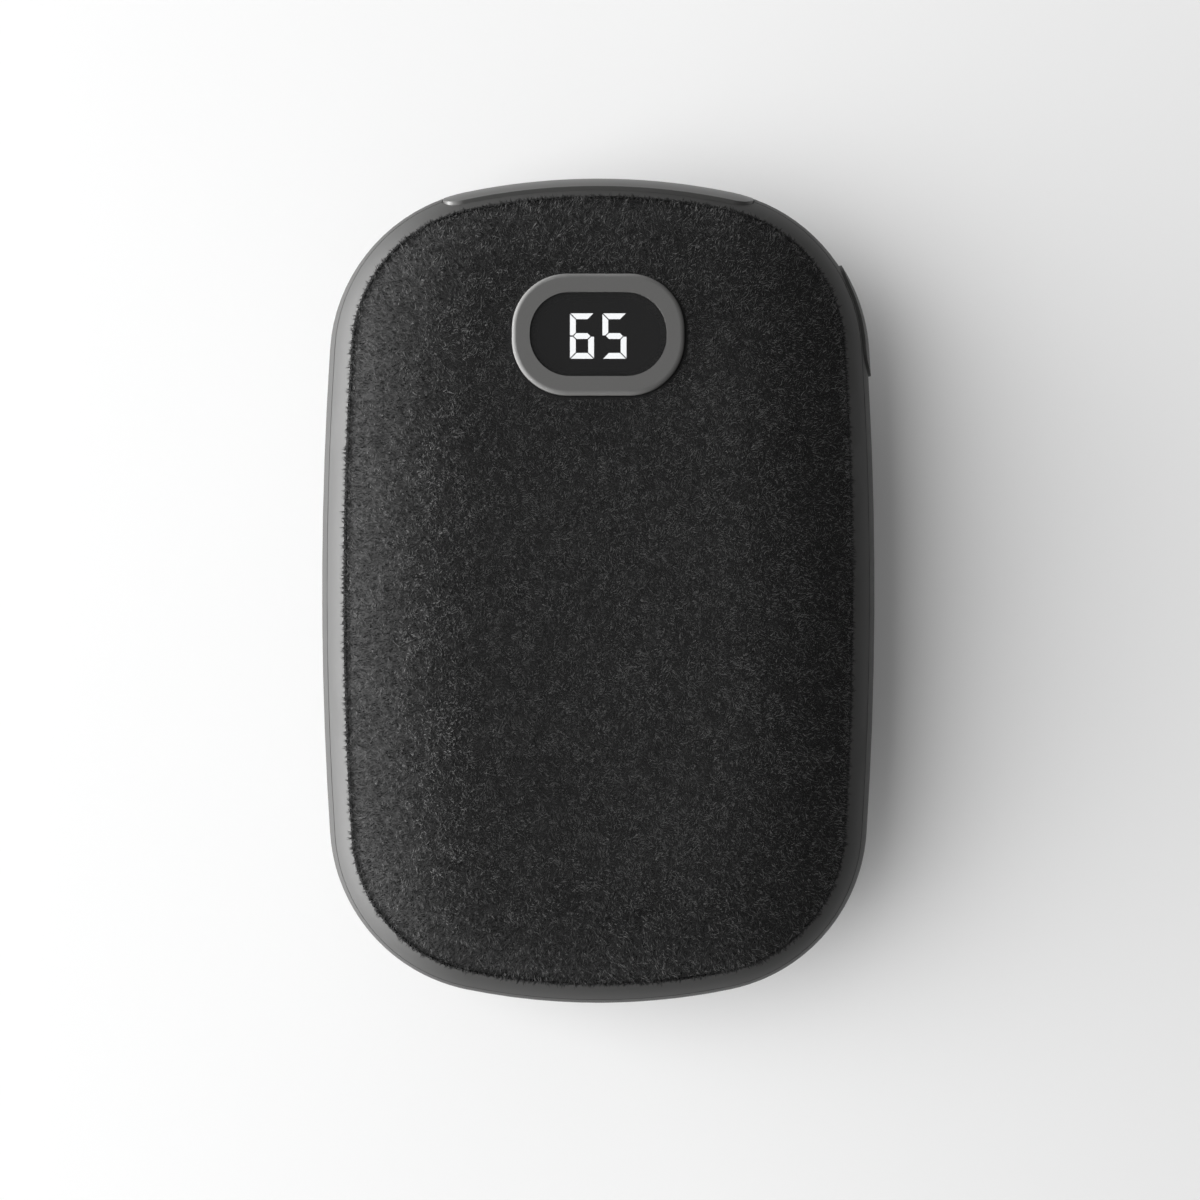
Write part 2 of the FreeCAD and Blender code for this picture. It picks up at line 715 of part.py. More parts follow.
plug_inset = cavity + PLUG_STEP
panel_near = half_length - PANEL_REACH
panel_far = half_length + OVERRUN

panel_round = SIDE_ROUND + PANEL_FULL_SHARE * (middle - SIDE_ROUND)
plate = pebble(0, panel_round).common(panel_prism(PANEL_WIDTH, PANEL_HEIGHT, PANEL_CORNER))
panel_back = PANEL_SEAT_DEPTH - PANEL_SEAT_GAP
plate = plate.cut(pebble(panel_back))
plug_room = oval_prism(plug_inset, 0, BODY_THICKNESS)
plug = pebble(panel_back).common(panel_prism(PLUG_WIDTH, PLUG_HEIGHT, PLUG_CORNER)).cut(plug_room)
panel = plate.fuse(plug)
barb_layer = pebble(cavity + PANEL_GAP).cut(plug_room)
for side in (-1, 1):
    barb_x = side * (PLUG_WIDTH / 2)
    barb_low = middle - PLUG_BARB_HEIGHT / 2
    barb_high = middle + PLUG_BARB_HEIGHT / 2
    barb = block(barb_x - PLUG_BARB_REACH, barb_x + PLUG_BARB_REACH, panel_near, panel_far, barb_low, barb_high)
    panel = panel.fuse(barb.common(barb_layer))
panel = panel.cut(usb_c_prism(PORT_GAP, panel_near, panel_far))
panel = panel.cut(usb_a_prism(PORT_GAP, panel_near, panel_far))
nodes["port_panel"] = panel.removeSplitter()


# Charging socket: bent steel shell with two legs to the board, moulded insulator with its tongue, contacts

def socket_mouth(across, width):
    """Where a socket's mouth lies, just behind the panel at the socket's outer side."""
    return end_arc_y(abs(across) + width / 2, 0) - PORT_RECESS


usb_c_mouth = socket_mouth(USB_C_ACROSS, USB_C_WIDTH)
usb_c_back = usb_c_mouth - USB_C_DEPTH
shell = usb_c_prism(0, usb_c_back, usb_c_mouth).cut(
    usb_c_prism(-USB_C_WALL, usb_c_back - OVERRUN, usb_c_mouth + OVERRUN)
)
leg_far = usb_c_back + USB_C_LEG_LENGTH
for side in (-1, 1):
    outside = USB_C_ACROSS + side * USB_C_WIDTH / 2
    inside = outside - side * USB_C_WALL
    leg = block(
        min(outside, inside), max(outside, inside), usb_c_back, leg_far, middle, board_low
    )
    shell = shell.fuse(leg)
nodes["usb_c_shell"] = shell.removeSplitter()

base_face = usb_c_back + USB_C_BASE_DEPTH
tongue_face = usb_c_mouth - USB_C_TONGUE_SETBACK
tongue_low = middle - USB_C_TONGUE_HEIGHT / 2
tongue_high = middle + USB_C_TONGUE_HEIGHT / 2
half_tongue = USB_C_TONGUE_WIDTH / 2
insulator = usb_c_prism(-USB_C_WALL, usb_c_back, base_face)
insulator = insulator.fuse(
    block(USB_C_ACROSS - half_tongue, USB_C_ACROSS + half_tongue, usb_c_back, tongue_face, tongue_low, tongue_high)
)
foot_face = usb_c_back - USB_C_FOOT_DEPTH
half_foot = USB_C_WIDTH / 2 - USB_C_WALL
foot_low = middle - USB_C_HEIGHT / 2
insulator = insulator.fuse(
    block(USB_C_ACROSS - half_foot, USB_C_ACROSS + half_foot, foot_face, usb_c_back, foot_low, board_low)
)
nodes["usb_c_insulator"] = insulator.removeSplitter()

contacts = []
contact_far = tongue_face - CONTACT_SETBACK
contact_near = contact_far - USB_C_CONTACT_LENGTH
for number in range(USB_C_CONTACTS):
    x = USB_C_ACROSS + (number - (USB_C_CONTACTS - 1) / 2) * USB_C_CONTACT_PITCH
    low_x = x - USB_C_CONTACT_WIDTH / 2
    high_x = x + USB_C_CONTACT_WIDTH / 2
    contacts.append(
        block(low_x, high_x, contact_near, contact_far, tongue_low - CONTACT_THICKNESS, tongue_low)
    )
    contacts.append(
        block(low_x, high_x, contact_near, contact_far, tongue_high, tongue_high + CONTACT_THICKNESS)
    )
nodes["usb_c_contacts"] = Part.makeCompound(contacts)


# Output socket, seated on the underside of the board

usb_a_mouth = socket_mouth(USB_A_ACROSS, USB_A_WIDTH)
usb_a_back = usb_a_mouth - USB_A_DEPTH
nodes["usb_a_shell"] = usb_a_prism(0, usb_a_back, usb_a_mouth).cut(
    usb_a_prism(-USB_A_WALL, usb_a_back - OVERRUN, usb_a_mouth + OVERRUN)
)
base_face = usb_a_back + USB_A_BASE_DEPTH
tongue_face = usb_a_mouth - USB_A_TONGUE_SETBACK
tongue_low = middle + USB_A_TONGUE_RISE - USB_A_TONGUE_HEIGHT / 2
tongue_high = tongue_low + USB_A_TONGUE_HEIGHT
half_tongue = USB_A_TONGUE_WIDTH / 2
insulator = usb_a_prism(-USB_A_WALL, usb_a_back, base_face)
insulator = insulator.fuse(
    block(USB_A_ACROSS - half_tongue, USB_A_ACROSS + half_tongue, usb_a_back, tongue_face, tongue_low, tongue_high)
)
nodes["usb_a_insulator"] = insulator.removeSplitter()

contacts = []
contact_far = tongue_face - CONTACT_SETBACK
contact_near = contact_far - USB_A_CONTACT_LENGTH
for number in range(USB_A_CONTACTS):
    x = USB_A_ACROSS + (number - (USB_A_CONTACTS - 1) / 2) * USB_A_CONTACT_PITCH
    low_x = x - USB_A_CONTACT_WIDTH / 2
    high_x = x + USB_A_CONTACT_WIDTH / 2
    contacts.append(
        block(low_x, high_x, contact_near, contact_far, tongue_low - CONTACT_THICKNESS, tongue_low)
    )
nodes["usb_a_contacts"] = Part.makeCompound(contacts)


# Button and switch

flange_outer = cavity + BUTTON_GAP
flange_inner = flange_outer + FLANGE_THICKNESS
press_height = board_low - SWITCH_AXIS_DROP
stem_low = press_height - STEM_HEIGHT / 2
stem_high = press_height + STEM_HEIGHT / 2
stem_start = (flange_outer + flange_inner) / 2

button = button_prism(0).common(layer(-BUTTON_PROUD, flange_inner))
button = button.fuse(button_prism(FLANGE_WIDTH).common(layer(flange_outer, flange_inner)))
button = button.fuse(
    at_button(block(-STEM_LENGTH / 2, STEM_LENGTH / 2, -STEM_REACH, -stem_start, stem_low, stem_high))
)
nodes["side_button"] = button.removeSplitter()

plunger_back = STEM_REACH + PLUNGER_DEPTH
switch_back = switch_face + SWITCH_DEPTH
chamber_back = plunger_back + BUTTON_TRAVEL + CHAMBER_ROOM
half_plunger = PLUNGER_LENGTH / 2
plunger_low = press_height - PLUNGER_HEIGHT / 2
plunger_high = press_height + PLUNGER_HEIGHT / 2
nodes["switch_plunger"] = at_button(
    block(-half_plunger, half_plunger, -plunger_back, -STEM_REACH, plunger_low, plunger_high)
)


def along_press(diameter, near, far):
    """Cylinder on the line of the press, between two depths."""
    start = FreeCAD.Vector(0, -near, press_height)
    return Part.makeCylinder(diameter / 2, far - near, start, FreeCAD.Vector(0, -1, 0))


slot_half = half_plunger + PLUNGER_GAP
slot_low = plunger_low - PLUNGER_GAP
slot_high = plunger_high + PLUNGER_GAP
housing = block(
    -SWITCH_LENGTH / 2, SWITCH_LENGTH / 2, -switch_back, -switch_face, board_low - SWITCH_HEIGHT, board_low
)
slot_back = plunger_back + PLUNGER_TRAVEL + PLUNGER_GAP
housing = housing.cut(block(-slot_half, slot_half, -slot_back, -switch_face, slot_low, slot_high))
chamber_face = plunger_back - PLUNGER_GAP
housing = housing.cut(along_press(DOME_DIAMETER + 2 * PLUNGER_GAP, chamber_face, chamber_back))
nodes["switch_housing"] = at_button(housing)

dome_radius = ((DOME_DIAMETER / 2) ** 2 + DOME_RISE ** 2) / (2 * DOME_RISE)
dome_top = plunger_back + DOME_GAP
dome_centre = FreeCAD.Vector(0, -(dome_top + dome_radius), press_height)
dome = Part.makeSphere(dome_radius, dome_centre).cut(Part.makeSphere(dome_radius - DOME_THICKNESS, dome_centre))
nodes["switch_dome"] = at_button(dome.common(along_press(DOME_DIAMETER, dome_top, dome_top + DOME_RISE)))


# Main board with what it carries

board_high_y = end_arc_y(0, BOARD_INSET)
board_half_width = half_width - BOARD_INSET


def board_along(share):
    """Place along the board from a share of its length."""
    return board_low_y + share * (board_high_y - board_low_y)


inductor_gap, chip_gap, socket_gap = [
    share * (2 * lower_post_x - POST_DIAMETER - INDUCTOR_SIZE - CONTROL_CHIP_SIZE - SOCKET_WIDTH)
    for share in ROW_GAP_SHARES
]
inductor_x = lower_post_x - POST_DIAMETER / 2 - inductor_gap - INDUCTOR_SIZE / 2
chip_x = inductor_x - INDUCTOR_SIZE / 2 - chip_gap - CONTROL_CHIP_SIZE / 2
socket_x = chip_x - CONTROL_CHIP_SIZE / 2 - socket_gap - SOCKET_WIDTH / 2
charge_x = socket_x - SOCKET_WIDTH / 2 - CHARGE_CHIP_GAP - CHARGE_CHIP_SIZE / 2


board = oval_prism(BOARD_INSET, board_low, board_high)
board = board.common(block(-half_width, half_width, board_low_y, half_length, board_low, board_high))
for x, y in post_places:
    board = board.cut(rod(x, y, BOARD_SCREW_DIAMETER + 2 * SCREW_PASS_GAP, board_low, board_high))
nodes["main_board"] = board

board_screws = []
for x, y in post_places:
    sizes = (BOARD_SCREW_DIAMETER, BOARD_SCREW_LENGTH, BOARD_HEAD_DIAMETER, BOARD_HEAD_HEIGHT)
    board_screws.append(screw(x, y, board_high, -1, *sizes))
nodes["board_screws"] = Part.makeCompound(board_screws)

y = board_along(CONTROL_CHIP_ALONG_SHARE)
nodes["control_chip"] = centred_block(
    chip_x, y, CONTROL_CHIP_SIZE, CONTROL_CHIP_SIZE, board_low - CONTROL_CHIP_HEIGHT, board_low
)
y = board_along(CHARGE_CHIP_ALONG_SHARE)
nodes["charge_chip"] = centred_block(
    charge_x, y, CHARGE_CHIP_SIZE, CHARGE_CHIP_SIZE, board_low - CHARGE_CHIP_HEIGHT, board_low
)
y = board_along(INDUCTOR_ALONG_SHARE)
nodes["power_inductor"] = rounded_prism(
    inductor_x, y, INDUCTOR_SIZE, INDUCTOR_SIZE, INDUCTOR_CORNER, board_low - INDUCTOR_HEIGHT, board_low
)
capacitors = []
y = board_along(CAPACITOR_ALONG_SHARE)
for across_share in CAPACITOR_ACROSS_SHARES:
    x = across_share * board_half_width
    capacitors.append(
        centred_block(x, y, CAPACITOR_LENGTH, CAPACITOR_WIDTH, board_low - CAPACITOR_HEIGHT, board_low)
    )
nodes["board_capacitors"] = Part.makeCompound(capacitors)

socket_y = board_along(SOCKET_ALONG_SHARE)
socket_low = board_low - SOCKET_HEIGHT
socket_near = socket_y - SOCKET_LENGTH / 2
socket_far = socket_y + SOCKET_LENGTH / 2
hollow_width = SOCKET_WIDTH - 2 * SOCKET_WALL
hollow_low = socket_low + SOCKET_WALL
hollow_high = board_low - SOCKET_WALL
hollow_far = socket_far - SOCKET_WALL
socket = centred_block(socket_x, socket_y, SOCKET_WIDTH, SOCKET_LENGTH, socket_low, board_low)
nodes["battery_socket"] = socket.cut(
    block(
        socket_x - hollow_width / 2,
        socket_x + hollow_width / 2,
        socket_near,
        hollow_far,
        hollow_low,
        hollow_high,
    )
)
plug_half_width = hollow_width / 2 - SOCKET_GAP
plug_near = socket_near - BATTERY_PLUG_SHOWN
nodes["battery_plug"] = block(
    socket_x - plug_half_width,
    socket_x + plug_half_width,
    plug_near,
    hollow_far,
    hollow_low + SOCKET_GAP,
    hollow_high - SOCKET_GAP,
)


# Battery pack: two pouch cells on each other, taped, with a protection board across their tabs

cell_y = (cell_low_y + cell_high_y) / 2
cell_length = cell_high_y - cell_low_y
cell_thickness = (stack_high - stack_low - TAPE_THICKNESS) / 2
cells = []
tabs = []
tab_high_y = cell_high_y + TAB_LENGTH
for low in (stack_low, stack_high - cell_thickness):
    high = low + cell_thickness
    cell = rounded_prism(0, cell_y, 2 * cell_half_width, cell_length, CELL_CORNER, low, high)
    rims = [edge for edge in cell.Edges if edge.BoundBox.ZLength < cell_thickness / 2]
    cells.append(cell.makeFillet(CELL_EDGE_ROUND, rims))
    tab_low = (low + high - TAB_THICKNESS) / 2
    for side in (-1, 1):
        low_x = side * TAB_SPACING / 2 - TAB_WIDTH / 2
        tabs.append(
            block(low_x, low_x + TAB_WIDTH, cell_high_y, tab_high_y, tab_low, tab_low + TAB_THICKNESS)
        )
nodes["battery_cells"] = Part.makeCompound(cells)
nodes["cell_tabs"] = Part.makeCompound(tabs)
tape_width = 2 * cell_half_width - 2 * TAPE_MARGIN
tape_length = cell_length - 2 * TAPE_MARGIN
tape_low = stack_low + cell_thickness
nodes["cell_tape"] = centred_block(0, cell_y, tape_width, tape_length, tape_low, tape_low + TAPE_THICKNESS)
protection_face = tab_high_y + PROTECTION_THICKNESS
nodes["protection_board"] = block(
    -PROTECTION_WIDTH / 2,
    PROTECTION_WIDTH / 2,
    tab_high_y,
    protection_face,
    middle - PROTECTION_HEIGHT / 2,
    middle + PROTECTION_HEIGHT / 2,
)


# Heat plates bent to the covers, film heaters on them, and foam that fills the room to the cells

plate_length = cell_length + 2 * PLATE_MARGIN
plate_plan = rounded_prism(
    0, cell_y, 2 * cell_half_width, plate_length, PLATE_CORNER, 0, BODY_THICKNESS
)
heat_plates = layer(cavity, plate_layer).common(plate_plan)
nodes["front_heat_plate"] = front_half(heat_plates)
nodes["rear_heat_plate"] = rear_half(heat_plates)

film_width = 2 * cell_half_width - 2 * FILM_MARGIN
film_length = plate_length - FILM_MARGIN + FILM_TAIL
film_y = cell_y + (FILM_TAIL + FILM_MARGIN) / 2
film_plan = rounded_prism(0, film_y, film_width, film_length, PLATE_CORNER, 0, BODY_THICKNESS)
films = layer(plate_layer, film_layer).common(film_plan)
nodes["front_heater_film"] = front_half(films)
nodes["rear_heater_film"] = rear_half(films)

foam_plan = rounded_prism(0, cell_y, 2 * cell_half_width, cell_length, CELL_CORNER, 0, BODY_THICKNESS)
foam_form = pebble(film_layer).common(foam_plan)
nodes["front_foam"] = foam_form.common(oval_prism(0, stack_high, BODY_THICKNESS))
nodes["rear_foam"] = foam_form.common(oval_prism(0, 0, stack_low))


# Leads and the sensor

lead_level = (hollow_low + hollow_high) / 2
pad_level = middle - PROTECTION_HEIGHT / 4
lead_run = (plug_near - protection_face) / 3
for name, side in (("red_battery_lead", -1), ("black_battery_lead", 1)):
    x = socket_x + side * BATTERY_LEAD_PITCH / 2
    route = [
        FreeCAD.Vector(x, protection_face, pad_level),
        FreeCAD.Vector(x, protection_face + lead_run, pad_level),
        FreeCAD.Vector(x, plug_near - lead_run, lead_level),
        FreeCAD.Vector(x, plug_near, lead_level),
    ]
    nodes[name] = lead(route, BATTERY_LEAD_DIAMETER)

tail_end = film_y + film_length / 2
landing_y = board_low_y + LEAD_BOARD_MARGIN
film_level = film_layer + LEAD_FILM_GAP


def film_leads(across, pitch, diameter, start_y, level, landing):
    """A pair of leads from a heater film's tail to the board."""
    pair = []
    for side in (-1, 1):
        x = across + side * pitch / 2
        route = [
            FreeCAD.Vector(x, start_y, level),
            FreeCAD.Vector(x, landing_y, level),
            FreeCAD.Vector(x, landing_y, landing),
        ]
        pair.append(lead(route, diameter))
    return Part.makeCompound(pair)


heater_level = film_level + HEATER_LEAD_DIAMETER / 2
heater_sizes = (HEATER_LEAD_PITCH, HEATER_LEAD_DIAMETER, tail_end - LEAD_LANDING)
nodes["rear_heater_leads"] = film_leads(HEATER_LEAD_ACROSS, *heater_sizes, heater_level, board_low)
nodes["front_heater_leads"] = film_leads(
    -HEATER_LEAD_ACROSS, *heater_sizes, BODY_THICKNESS - heater_level, board_high
)

sensor_level = BODY_THICKNESS - film_level - SENSOR_DIAMETER / 2
sensor_start = FreeCAD.Vector(HEATER_LEAD_ACROSS, tail_end - SENSOR_LENGTH, sensor_level)
sensor = Part.makeCylinder(SENSOR_DIAMETER / 2, SENSOR_LENGTH, sensor_start, FreeCAD.Vector(0, 1, 0))
nodes["thermistor"] = sensor
nodes["thermistor_leads"] = film_leads(
    HEATER_LEAD_ACROSS, SENSOR_LEAD_PITCH, SENSOR_LEAD_DIAMETER, tail_end, sensor_level, board_high
)


os.makedirs("parts", exist_ok=True)
for name, shape in nodes.items():
    shape.exportStep(os.path.join("parts", name + ".step"))
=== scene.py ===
import math

import bpy
import numpy as np
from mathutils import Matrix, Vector, noise
from mathutils.geometry import delaunay_2d_cdt


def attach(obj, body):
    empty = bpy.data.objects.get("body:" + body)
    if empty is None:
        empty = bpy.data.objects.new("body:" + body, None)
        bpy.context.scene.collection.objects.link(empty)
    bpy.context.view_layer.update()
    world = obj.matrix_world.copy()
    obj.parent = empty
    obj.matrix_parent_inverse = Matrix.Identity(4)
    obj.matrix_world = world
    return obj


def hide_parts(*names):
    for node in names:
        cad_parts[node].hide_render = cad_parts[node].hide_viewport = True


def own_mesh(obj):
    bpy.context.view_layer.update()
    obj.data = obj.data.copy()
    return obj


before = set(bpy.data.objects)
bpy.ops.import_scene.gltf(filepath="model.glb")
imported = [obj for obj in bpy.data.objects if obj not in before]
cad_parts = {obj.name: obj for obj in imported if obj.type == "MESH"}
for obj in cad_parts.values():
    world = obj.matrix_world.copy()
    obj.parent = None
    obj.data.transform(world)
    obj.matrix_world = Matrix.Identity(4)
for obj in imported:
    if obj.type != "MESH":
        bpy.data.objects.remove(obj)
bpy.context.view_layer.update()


# Rear cover: the deep half of the casing, moulded in dark grey plastic with a fine satin texture.
# It carries the board posts and the screw bosses, and everything else is built up in it.

class Finish:
    """A socket in a material's nodes. Sums of sockets and numbers add Math nodes."""

    def __init__(self, tree, socket=None):
        self.tree = tree
        self.socket = socket

    def node(self, kind, settings=None, sockets=None, out=0):
        """Adds one node: its settings first, then the values or links of its sockets."""
        made = self.tree.nodes.new(kind)
        for name, value in (settings or {}).items():
            if name == "stops":
                ramp = made.color_ramp.elements
                for stop, (position, shade) in zip((ramp[0], ramp[1]), value):
                    stop.position = position
                    stop.color = shade
            else:
                setattr(made, name, value)
        for name, value in (sockets or {}).items():
            if isinstance(value, Finish):
                self.tree.links.new(value.socket, made.inputs[name])
            else:
                made.inputs[name].default_value = value
        return Finish(self.tree, made.outputs[out] if made.outputs else None)

    def maths(self, operation, first, second):
        return self.node("ShaderNodeMath", {"operation": operation}, {0: first, 1: second})

    def __add__(self, other):
        return self.maths("ADD", self, other)

    def __radd__(self, other):
        return self.maths("ADD", other, self)

    def __sub__(self, other):
        return self.maths("SUBTRACT", self, other)

    def __rsub__(self, other):
        return self.maths("SUBTRACT", other, self)

    def __mul__(self, other):
        return self.maths("MULTIPLY", self, other)

    def __rmul__(self, other):
        return self.maths("MULTIPLY", other, self)

    def speckle(self, scale, detail=2.0, roughness=0.5):
        """Noise over a place in millimetres, with scale blobs to the millimetre."""
        return self.node("ShaderNodeTexNoise", {}, {"Vector": self, "Scale": scale, "Detail": detail,
                                                    "Roughness": roughness})

    def stretched(self, x, y, z):
        """The same place with each axis drawn out, for grain that runs one way."""
        return self.node("ShaderNodeVectorMath", {"operation": "MULTIPLY"}, {0: self, 1: (x, y, z)})

    def shade(self, low, high):
        """A colour between two, by this mask."""
        return self.node("ShaderNodeMix", {"data_type": "RGBA"},
                         {0: self, 6: (*low, 1.0), 7: (*high, 1.0)}, out=2)

    def relief(self, depth):
        """Bumps of that depth in metres, by this height."""
        return self.node("ShaderNodeBump", {}, {"Strength": 1.0, "Distance": depth, "Height": self})

    def surface(self, sockets):
        """The material's shader, from the values and links of its sockets."""
        shader = self.node("ShaderNodeBsdfPrincipled", {}, sockets)
        self.node("ShaderNodeOutputMaterial", {}, {"Surface": shader})


def new_finish(name):
    """A bare material, and the place on the object, in millimetres, that its patterns read."""
    material = bpy.data.materials.new(name)
    material.use_nodes = True
    material.node_tree.nodes.clear()
    place = Finish(material.node_tree).node("ShaderNodeTexCoord", out="Object")
    return material, place.stretched(1000.0, 1000.0, 1000.0)


def dress(material, *names):
    """Gives CAD nodes their finish."""
    for name in names:
        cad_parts[name].material_slots[0].material = material


def satin_plastic(name, colour, gloss, texture=0.0000016):
    """Moulded plastic with a fine spark-eroded texture and a faint mottle from handling."""
    material, place = new_finish(name)
    texture_height = place.speckle(5.5, 2.0)
    mottle = place.speckle(0.09, 3.0)
    darker = tuple(0.88 * c for c in colour)
    lighter = tuple(1.12 * c for c in colour)
    place.surface({
        "Base Color": mottle.shade(darker, lighter),
        "Roughness": gloss - 0.03 + 0.06 * mottle,
        "Normal": texture_height.relief(texture),
    })
    return material


case_plastic = satin_plastic("case_plastic", (0.012, 0.0118, 0.0112), 0.62)
dress(case_plastic, "rear_cover")


# Heat plates, heater films and foam: rolled aluminium under each cover, an amber film heater stuck
# to it, and a pad of closed-cell foam that presses the two against the battery.

plate_metal, place = new_finish("rolled_aluminium")
rolling = place.stretched(9.0, 0.25, 9.0).speckle(1.0, 3.0)
place.surface({
    "Base Color": rolling.shade((0.48, 0.48, 0.49), (0.62, 0.62, 0.63)),
    "Metallic": 1.0,
    "Roughness": 0.28 + 0.18 * rolling,
    "Normal": rolling.relief(0.000002),
})
dress(plate_metal, "rear_heat_plate", "front_heat_plate")

heater_film, place = new_finish("amber_film")
track = place.node("ShaderNodeTexWave", {"wave_type": "BANDS", "bands_direction": "Y"},
                   {"Vector": place, "Scale": 0.18, "Distortion": 0.0})
track = track.node("ShaderNodeValToRGB", {"stops": ((0.45, (0, 0, 0, 1)), (0.55, (1, 1, 1, 1)))},
                   {0: track})
place.surface({
    "Base Color": track.shade((0.36, 0.12, 0.015), (0.52, 0.22, 0.05)),
    "Roughness": 0.24 + 0.1 * place.speckle(0.4),
    "Normal": track.relief(0.00001),
})
dress(heater_film, "rear_heater_film", "front_heater_film")

foam_rubber, place = new_finish("closed_cell_foam")
cells = place.node("ShaderNodeTexVoronoi", {}, {"Vector": place, "Scale": 2.6})
place.surface({
    "Base Color": cells.shade((0.008, 0.008, 0.009), (0.03, 0.03, 0.032)),
    "Roughness": 0.92,
    "Normal": cells.relief(0.0001),
})
dress(foam_rubber, "rear_foam", "front_foam")


# Battery pack: two pouch cells in laminate foil, taped together, with nickel tabs to the
# protection board. Two leads in silicone run from it to a plug on the main board.

pouch_foil, place = new_finish("pouch_foil")
creases = place.speckle(0.35, 4.0, 0.6)
place.surface({
    "Base Color": creases.shade((0.44, 0.44, 0.45), (0.60, 0.60, 0.61)),
    "Metallic": 0.85,
    "Roughness": 0.3 + 0.2 * creases,
    "Normal": creases.relief(0.00006),
})
dress(pouch_foil, "battery_cells")

nickel, place = new_finish("nickel_strip")
drawing = place.stretched(6.0, 6.0, 0.3).speckle(1.0, 3.0)
place.surface({
    "Base Color": drawing.shade((0.46, 0.44, 0.40), (0.58, 0.56, 0.51)),
    "Metallic": 1.0,
    "Roughness": 0.3 + 0.15 * drawing,
})
dress(nickel, "cell_tabs")

polyester_tape, place = new_finish("polyester_tape")
wrinkles = place.stretched(0.3, 1.5, 1.0).speckle(1.0, 3.0)
place.surface({
    "Base Color": wrinkles.shade((0.008, 0.03, 0.14), (0.014, 0.05, 0.2)),
    "Roughness": 0.22 + 0.16 * wrinkles,
    "Normal": wrinkles.relief(0.00002),
})
dress(polyester_tape, "cell_tape")


def silicone(name, low, high):
    """Soft lead insulation with a little dust on it."""
    material, place = new_finish(name)
    dust = place.speckle(1.4, 3.0)
    place.surface({
        "Base Color": dust.shade(low, high),
        "Roughness": 0.48 + 0.2 * dust,
        "Normal": dust.relief(0.000006),
    })
    return material


dress(silicone("red_silicone", (0.30, 0.004, 0.004), (0.42, 0.012, 0.01)), "red_battery_lead")
dress(silicone("black_silicone", (0.006, 0.006, 0.006), (0.016, 0.016, 0.016)), "black_battery_lead")
dress(silicone("white_silicone", (0.56, 0.55, 0.51), (0.68, 0.67, 0.63)),
      "rear_heater_leads", "front_heater_leads", "thermistor_leads")

nylon = satin_plastic("nylon", (0.66, 0.64, 0.57), 0.4, 0.000002)
dress(nylon, "battery_socket", "battery_plug")


# Main board: glass-fibre laminate under green solder mask with fine copper tracks, on four posts
# of the rear cover. Moulded chips, a pressed inductor and ceramic capacitors are soldered to it.

solder_mask, place = new_finish("solder_mask")
tracks = place.node("ShaderNodeTexBrick", {"offset": 0.5},
                    {"Vector": place, "Scale": 0.55, "Mortar Size": 0.03, "Color1": (0, 0, 0, 1),
                     "Color2": (0, 0, 0, 1), "Mortar": (1, 1, 1, 1)})
weave = place.speckle(3.0, 2.0)
place.surface({
    "Base Color": tracks.shade((0.006, 0.055, 0.02), (0.014, 0.11, 0.042)),
    "Roughness": 0.26 + 0.14 * weave,
    "Normal": (tracks + 0.2 * weave).relief(0.00002),
})
dress(solder_mask, "main_board", "protection_board")

dress(satin_plastic("chip_resin", (0.010, 0.010, 0.0105), 0.5, 0.000003), "control_chip", "charge_chip")
dress(satin_plastic("pressed_ferrite", (0.035, 0.035, 0.037), 0.6, 0.000006), "power_inductor")

ceramic, place = new_finish("ceramic")
firing = place.speckle(2.2, 3.0)
place.surface({
    "Base Color": firing.shade((0.19, 0.105, 0.045), (0.27, 0.16, 0.075)),
    "Roughness": 0.36 + 0.2 * firing,
})
dress(ceramic, "board_capacitors")

dress(satin_plastic("sensor_resin", (0.012, 0.010, 0.008), 0.18, 0.000002), "thermistor")

zinc, place = new_finish("zinc_plate")
wear = place.speckle(3.2, 3.0)
place.surface({
    "Base Color": wear.shade((0.42, 0.42, 0.43), (0.58, 0.58, 0.58)),
    "Metallic": 1.0,
    "Roughness": 0.24 + 0.2 * wear,
    "Normal": wear.relief(0.000003),
})
dress(zinc, "board_screws", "case_screws")


# Sockets: bent shells of plated steel around a black moulded tongue with gold-plated contacts.
# They are soldered to the under side of the board, behind the openings of the port panel.

plated_steel, place = new_finish("plated_steel")
rolling = place.stretched(0.4, 7.0, 7.0).speckle(1.0, 3.0)
place.surface({
    "Base Color": rolling.shade((0.50, 0.50, 0.50), (0.63, 0.63, 0.62)),
    "Metallic": 1.0,
    "Roughness": 0.2 + 0.14 * rolling,
    "Normal": rolling.relief(0.000002),
})
dress(plated_steel, "usb_c_shell", "usb_a_shell")

dress(satin_plastic("tongue_plastic", (0.009, 0.009, 0.0095), 0.38),
      "usb_c_insulator", "usb_a_insulator")

gold_plate, place = new_finish("gold_plate")
wiping = place.stretched(9.0, 0.5, 9.0).speckle(1.0, 3.0)
place.surface({
    "Base Color": wiping.shade((0.66, 0.44, 0.12), (0.78, 0.55, 0.19)),
    "Metallic": 1.0,
    "Roughness": 0.16 + 0.14 * wiping,
})
dress(gold_plate, "usb_c_contacts", "usb_a_contacts")
